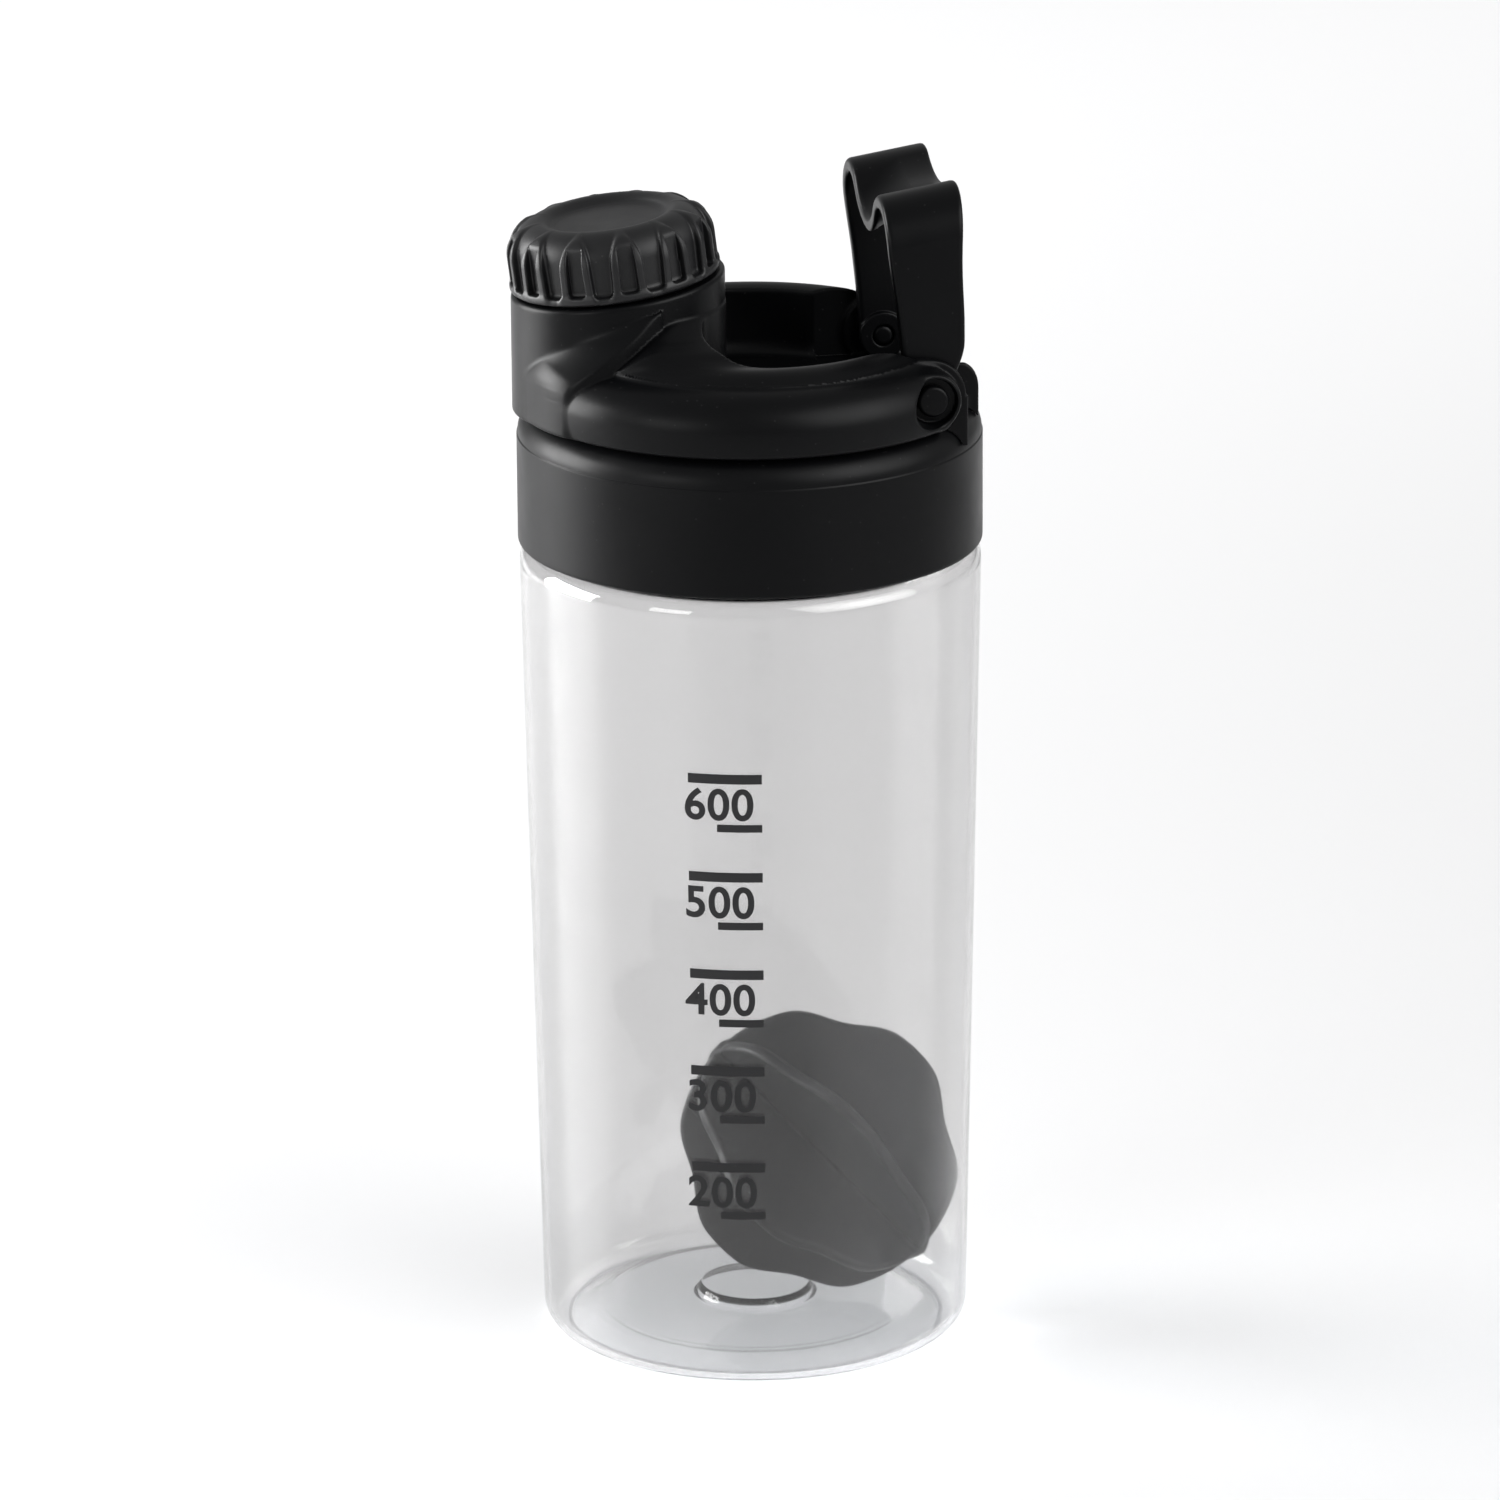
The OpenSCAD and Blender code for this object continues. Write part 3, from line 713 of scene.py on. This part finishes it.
def make_pin(name, side):
    """A hinge pin with a round head, out along Y on one side."""
    outline = rounded([
        (0, PIN_IN_Y, 0), (PIN_R, PIN_IN_Y, 0.9), (PIN_R, HEAD_Y, 0.2), (HEAD_R, HEAD_Y, 0.3),
        (HEAD_R, LUG_OUT_Y - 0.2, 0.7), (0, LUG_OUT_Y - 0.1, 0)], closed=False)
    pin = lathe(name, outline, 64, closed=False)
    return stand(pin, (1, 0, 0), (0, 0, -side), (0, side, 0), (PIVOT[0], 0, PIVOT[2]))


# ---------------------------------------------------------------- measuring scale printed on the bottle
SCALE_MIDDLE = math.radians(-106.8)
SCALE_RIGHT = 7
HALF_MARK_LEFT = -1.5
MARK_T = 1.9
HALF_MARK_T = 1.5
INK_T = 0.05
INK_STEP = 0.8
INK_HALF_W = 8
ML_PER_MM = 5.15
FLOOR_ML = -31
NUMBER_H = 6.2
NUMBER_X = -1.2
NUMBER_DROP = 5.4
CAPITAL_SHARE = 0.72
BOLDNESS = 0.028
LETTER_SPACE = 1.05


def wrap_on_bottle(piece):
    """Bends a flat piece, X across and Z up from the base, round the bottle's wall."""
    for v in piece.data.vertices:
        x, y, z = np.array(v.co) / MM
        wall = BODY_BASE_R + (BODY_TOP_R - BODY_BASE_R) * z / BODY_H
        angle = SCALE_MIDDLE + x / wall
        v.co = Vector(((wall + y) * math.cos(angle), (wall + y) * math.sin(angle), z)) * MM


def printed_bar(work, left, right, z, height):
    """A thin closed bar, cut finely enough to bend."""
    columns = max(2, math.ceil((right - left) / INK_STEP))
    xs = np.linspace(left, right, columns)
    foot, top = z - height / 2, z + height / 2
    rows = [[work.verts.new((x * MM, y * MM, h * MM)) for x in xs]
            for y, h in ((INK_T, foot), (INK_T, top), (0, top), (0, foot))]
    for a, b in zip(rows, rows[1:] + rows[:1]):
        for i in range(columns - 1):
            work.faces.new((a[i], a[i + 1], b[i + 1], b[i]))
    work.faces.new([row[0] for row in rows[::-1]])
    work.faces.new([row[-1] for row in rows])


def printed_number(text, x, z):
    """A number as a thin closed solid."""
    curve = bpy.data.curves.new("number", "FONT")
    curve.body = text
    curve.align_x, curve.align_y = "CENTER", "CENTER"
    curve.size = NUMBER_H * MM / CAPITAL_SHARE
    curve.extrude = INK_T / 2 * MM
    curve.offset = NUMBER_H * MM * BOLDNESS
    curve.space_character = LETTER_SPACE
    typed = bpy.data.objects.new("number", curve)
    bpy.context.scene.collection.objects.link(typed)
    bpy.context.view_layer.update()
    mesh = bpy.data.meshes.new_from_object(typed.evaluated_get(bpy.context.evaluated_depsgraph_get()))
    bpy.data.objects.remove(typed)
    upright = Matrix.Rotation(math.pi / 2, 4, "X")
    mesh.transform(Matrix.Translation((x * MM, INK_T / 2 * MM, z * MM)) @ upright)
    return mesh


def make_print():
    """A generic measuring scale: a mark each 50 ml and a number each 100 ml, cut so that they can bend."""
    work = bmesh.new()
    for volume in range(150, 650, 50):
        z = (volume - FLOOR_ML) / ML_PER_MM
        half = volume % 100 != 0
        left = HALF_MARK_LEFT if half else -SCALE_RIGHT
        printed_bar(work, left, SCALE_RIGHT, z, HALF_MARK_T if half else MARK_T)
    for volume in range(200, 700, 100):
        z = (volume - FLOOR_ML) / ML_PER_MM
        work.from_mesh(printed_number(str(volume), NUMBER_X, z - NUMBER_DROP))
    for x in np.arange(-INK_HALF_W, INK_HALF_W + 0.1, INK_STEP):
        whole = list(work.verts) + list(work.edges) + list(work.faces)
        bmesh.ops.bisect_plane(work, geom=whole, plane_co=(x * MM, 0, 0), plane_no=(1, 0, 0), dist=1e-7)
    bmesh.ops.recalc_face_normals(work, faces=work.faces)
    mesh = bpy.data.meshes.new("measuring_scale")
    work.to_mesh(mesh)
    work.free()
    piece = bpy.data.objects.new("measuring_scale", mesh)
    bpy.context.scene.collection.objects.link(piece)
    wrap_on_bottle(piece)
    return piece


# ---------------------------------------------------------------- materials
def material(name):
    """A new Principled material: its shader, output, and a node maker."""
    made = bpy.data.materials.new(name)
    made.use_nodes = True
    nodes = made.node_tree.nodes

    def add(kind, **settings):
        """A new node with its sockets, or else its properties, set by name."""
        node = nodes.new(kind)
        for key, value in settings.items():
            if key in node.inputs:
                node.inputs[key].default_value = value
            else:
                setattr(node, key, value)
        return node

    return made, nodes["Principled BSDF"], nodes["Material Output"], add


def grain(tree, shader, add, scale, height, detail=4.0):
    """Fine moulded grain as a bump, at a scale of noise cells to the metre."""
    place_at = add("ShaderNodeTexCoord")
    noise = add("ShaderNodeTexNoise", Scale=scale, Detail=detail, Roughness=0.6)
    bump = add("ShaderNodeBump", Strength=1.0, Distance=height)
    tree.links.new(place_at.outputs["Object"], noise.inputs["Vector"])
    tree.links.new(noise.outputs["Fac"], bump.inputs["Height"])
    tree.links.new(bump.outputs["Normal"], shader.inputs["Normal"])
    return place_at, bump


def vary(tree, add, place_at, scale, low_value, high_value, detail=3.0):
    """A value that drifts between two levels over the surface."""
    noise = add("ShaderNodeTexNoise", Scale=scale, Detail=detail, Roughness=0.55)
    spread = add("ShaderNodeMapRange")
    spread.inputs["From Min"].default_value = 0.3
    spread.inputs["From Max"].default_value = 0.7
    spread.inputs["To Min"].default_value = low_value
    spread.inputs["To Max"].default_value = high_value
    tree.links.new(place_at.outputs["Object"], noise.inputs["Vector"])
    tree.links.new(noise.outputs["Fac"], spread.inputs["Value"])
    return spread.outputs["Result"]


SHEEN_DRIFT = 0.06
COLOUR_DRIFT = 0.12
SPECK_SCALE = 420.0
SPECK_SIZE = 0.075


def moulded(name, colour, rough, specular, speck, bump_height=4e-6, bump_scale=1800):
    """Moulded plastic: fine grain, uneven sheen, a slight drift of colour and a few pale specks."""
    made, shader, _, add = material(name)
    tree = made.node_tree
    place_at, _ = grain(tree, shader, add, bump_scale, bump_height)
    sheen = vary(tree, add, place_at, 60, rough - SHEEN_DRIFT, rough + SHEEN_DRIFT)
    tree.links.new(sheen, shader.inputs["Roughness"])
    shader.inputs["Specular IOR Level"].default_value = specular
    shade = add("ShaderNodeMix", data_type="RGBA")
    shade.inputs["A"].default_value = (*[c * (1 - COLOUR_DRIFT) for c in colour], 1)
    shade.inputs["B"].default_value = (*[c * (1 + COLOUR_DRIFT) for c in colour], 1)
    tree.links.new(vary(tree, add, place_at, 25, 0, 1), shade.inputs["Factor"])
    cells = add("ShaderNodeTexVoronoi", Scale=SPECK_SCALE)
    pick = add("ShaderNodeMath", operation="LESS_THAN")
    pick.inputs[1].default_value = SPECK_SIZE
    tree.links.new(place_at.outputs["Object"], cells.inputs["Vector"])
    tree.links.new(cells.outputs["Distance"], pick.inputs[0])
    specks = add("ShaderNodeMix", data_type="RGBA")
    specks.inputs["B"].default_value = (*speck, 1)
    tree.links.new(pick.outputs[0], specks.inputs["Factor"])
    tree.links.new(shade.outputs["Result"], specks.inputs["A"])
    tree.links.new(specks.outputs["Result"], shader.inputs["Base Color"])
    return made


def clear(name):
    """Clear moulded plastic, slightly wavy, which lets the lamps' light through."""
    made, shader, output, add = material(name)
    tree = made.node_tree
    # Base colour: a grey tint, partly the plastic's own and partly painted shade, which darkens the floor and
    # the parts seen through the bottle to a dimmer grey.
    shader.inputs["Base Color"].default_value = (0.765, 0.762, 0.762, 1)
    shader.inputs["Transmission Weight"].default_value = 1
    shader.inputs["IOR"].default_value = 1.5
    place_at, bump = grain(tree, shader, add, 38, 5e-5, detail=1.5)
    tree.links.new(vary(tree, add, place_at, 30, 0.02, 0.06), shader.inputs["Roughness"])
    through = add("ShaderNodeBsdfTransparent", Color=(0.93, 0.94, 0.95, 1))
    light = add("ShaderNodeLightPath")
    blend = add("ShaderNodeMixShader")
    tree.links.new(light.outputs["Is Shadow Ray"], blend.inputs[0])
    tree.links.new(shader.outputs[0], blend.inputs[1])
    tree.links.new(through.outputs[0], blend.inputs[2])
    tree.links.new(blend.outputs[0], output.inputs["Surface"])
    return made


BLACK = moulded("black_moulded", colour=(0.0016, 0.0017, 0.002), rough=0.36, specular=0.1,
                speck=(0.01, 0.01, 0.0105))
CAP_BLACK = moulded("cap_moulded", colour=(0.004, 0.0041, 0.0046), rough=0.44, specular=0.3,
                    speck=(0.016, 0.016, 0.0165), bump_height=8e-6, bump_scale=1400)
GREY = moulded("grey_moulded", colour=(0.005, 0.0052, 0.0057), rough=0.42, specular=0.12,
               speck=(0.075, 0.075, 0.077), bump_height=6e-6, bump_scale=1500)
SILICONE = moulded("silicone_moulded", colour=(0.62, 0.62, 0.6), rough=0.6, specular=0.35,
                   speck=(0.66, 0.66, 0.65), bump_height=5e-6, bump_scale=1200)
INK = moulded("ink", colour=(0.011, 0.011, 0.012), rough=0.6, specular=0.3,
              speck=(0.02, 0.02, 0.021), bump_height=3e-6, bump_scale=3000)
CLEAR = clear("clear_moulded")

# ---------------------------------------------------------------- the object
# Each field piece is meshed in a space that holds it, about its own axes.
STEP = 0.45
SMALL_STEP = STEP * 0.7
WORLD_AXES = np.eye(3)
SPOUT_AXES = np.array([SPOUT_OUT, (0, 1, 0), SPOUT_UP])
BALL_REACH = BALL_R + 2.6
COVER_SPACE = ((-46, -46, DECK - 4), (46, 46, DECK + 29))
CAP_SPACE = ((-21, -21, -1), (21, 21, CAP_H + 1))
LOOP_SPACE = ((-9, -25, -6), (14, 25, CREST_H + 5))
BALL_SPACE = ((-BALL_REACH,) * 3, (BALL_REACH,) * 3)


def turn_about(axis, degrees):
    """A rotation as a plain array."""
    return np.array(Matrix.Rotation(math.radians(degrees), 3, axis))


BALL_AXES = (turn_about("Z", 153) @ turn_about("Y", 47.5) @ turn_about("Z", 15)).T

cover = turned("lid_cover_shell", cover_field, COVER_SPACE, STEP, WORLD_AXES, np.zeros(3))
place(cover, "lid", "black_plastic", BLACK, "lid_cover")
cap = turned("spout_cap_shell", cap_field, CAP_SPACE, SMALL_STEP, SPOUT_AXES, SPOUT)
place(cap, "cap", "cap_plastic", CAP_BLACK, "spout_cap")
loop = turned("carry_loop_strip", loop_field, LOOP_SPACE, SMALL_STEP, WORLD_AXES, PIVOT)
place(loop, "loop", "black_plastic", BLACK, "carry_loop")
ball = turned("mixing_ball_fins", ball_field, BALL_SPACE, STEP, BALL_AXES, BALL)
place(ball, "ball", "grey_plastic", GREY, "mixing_ball")

place(make_bottle(), "bottle", "clear_plastic", CLEAR, "bottle")
place(make_collar(), "lid", "black_plastic", BLACK, "lid_collar")
place(make_spout(), "lid", "black_plastic", BLACK, "drinking_spout")
place(make_pin("left_pin", -1), "lid", "black_plastic", BLACK, "left_hinge_pin")
place(make_pin("right_pin", 1), "lid", "black_plastic", BLACK, "right_hinge_pin")
place(make_print(), "bottle", "print", INK)
for name in ("lid_gasket", "spout_seal", "cap_liner"):
    node = frame["nodes"][name]
    node.data.materials.clear()
    node.data.materials.append(SILICONE)

# ---------------------------------------------------------------- floor, light and camera
scene = bpy.context.scene
scene.view_settings.view_transform = "Standard"

FLOOR_HALF = 1e4
floor_corners = [(x * FLOOR_HALF, y * FLOOR_HALF, 0) for x, y in ((-1, -1), (1, -1), (1, 1), (-1, 1))]
floor = new_mesh("floor", floor_corners, [(0, 1, 2, 3)])
floor_material, floor_shader, _, _ = material("floor")
floor_shader.inputs["Base Color"].default_value = (0.66, 0.66, 0.664, 1)
floor_shader.inputs["Roughness"].default_value = 0.5
floor.data.materials.append(floor_material)

world = bpy.data.worlds.new("studio")
world.use_nodes = True
world.node_tree.nodes["Background"].inputs["Color"].default_value = (1, 1, 1, 1)
world.node_tree.nodes["Background"].inputs["Strength"].default_value = 0.5
scene.world = world


def soft_box(name, spot, aim, width, height, power, spread=180):
    """A rectangular lamp, with its place, aim and size in metres, and its spread in degrees."""
    lamp = bpy.data.lights.new(name, "AREA")
    lamp.shape = "RECTANGLE"
    lamp.size, lamp.size_y = width, height
    lamp.energy = power
    lamp.spread = math.radians(spread)
    holder = bpy.data.objects.new(name, lamp)
    holder.location = spot
    holder.rotation_euler = (Vector(aim) - Vector(spot)).to_track_quat("-Z", "Y").to_euler()
    scene.collection.objects.link(holder)


# A sweep over the backdrop, a strong lamp at the left, a weak one front left and a broad one at the right.
LID = (0, 0, 0.19)
soft_box("sweep_box", (0, 1.5, 1.3), (0, 1.5, 0), 2.4, 1.7, 10, 60)
soft_box("left_box", (-1.1, 0.44, 0.36), LID, 0.8, 0.68, 35)
soft_box("front_left_box", (-0.82, -0.69, 0.42), LID, 0.4, 0.4, 2.5)
soft_box("right_box", (0.88, -0.74, 0.8), LID, 1.5, 1.2, 6.5, 80)

# The photograph's view, with its slight roll.
CAMERA_AZIMUTH = math.radians(-10)
CAMERA_ELEVATION = math.radians(17.38)
CAMERA_ROLL = math.radians(0.386)
CAMERA_DISTANCE = 1.8
AIM_UP = 0.01411
AIM_RIGHT = -0.000326
back = Vector((math.sin(CAMERA_AZIMUTH) * math.cos(CAMERA_ELEVATION),
               -math.cos(CAMERA_AZIMUTH) * math.cos(CAMERA_ELEVATION), math.sin(CAMERA_ELEVATION)))
right = Vector((math.cos(CAMERA_AZIMUTH), math.sin(CAMERA_AZIMUTH), 0))
up = back.cross(right)
camera = bpy.data.cameras.new("camera")
camera.lens, camera.sensor_width = 224.95, 36
viewer = bpy.data.objects.new("camera", camera)
leaned_right = math.cos(CAMERA_ROLL) * right - math.sin(CAMERA_ROLL) * up
leaned_up = math.sin(CAMERA_ROLL) * right + math.cos(CAMERA_ROLL) * up
viewer.matrix_world = Matrix([list(row) for row in zip(leaned_right, leaned_up, back)]).to_4x4()
viewer.location = Vector((0, 0, 0.1)) + up * AIM_UP + right * AIM_RIGHT + back * CAMERA_DISTANCE
scene.collection.objects.link(viewer)
scene.camera = viewer
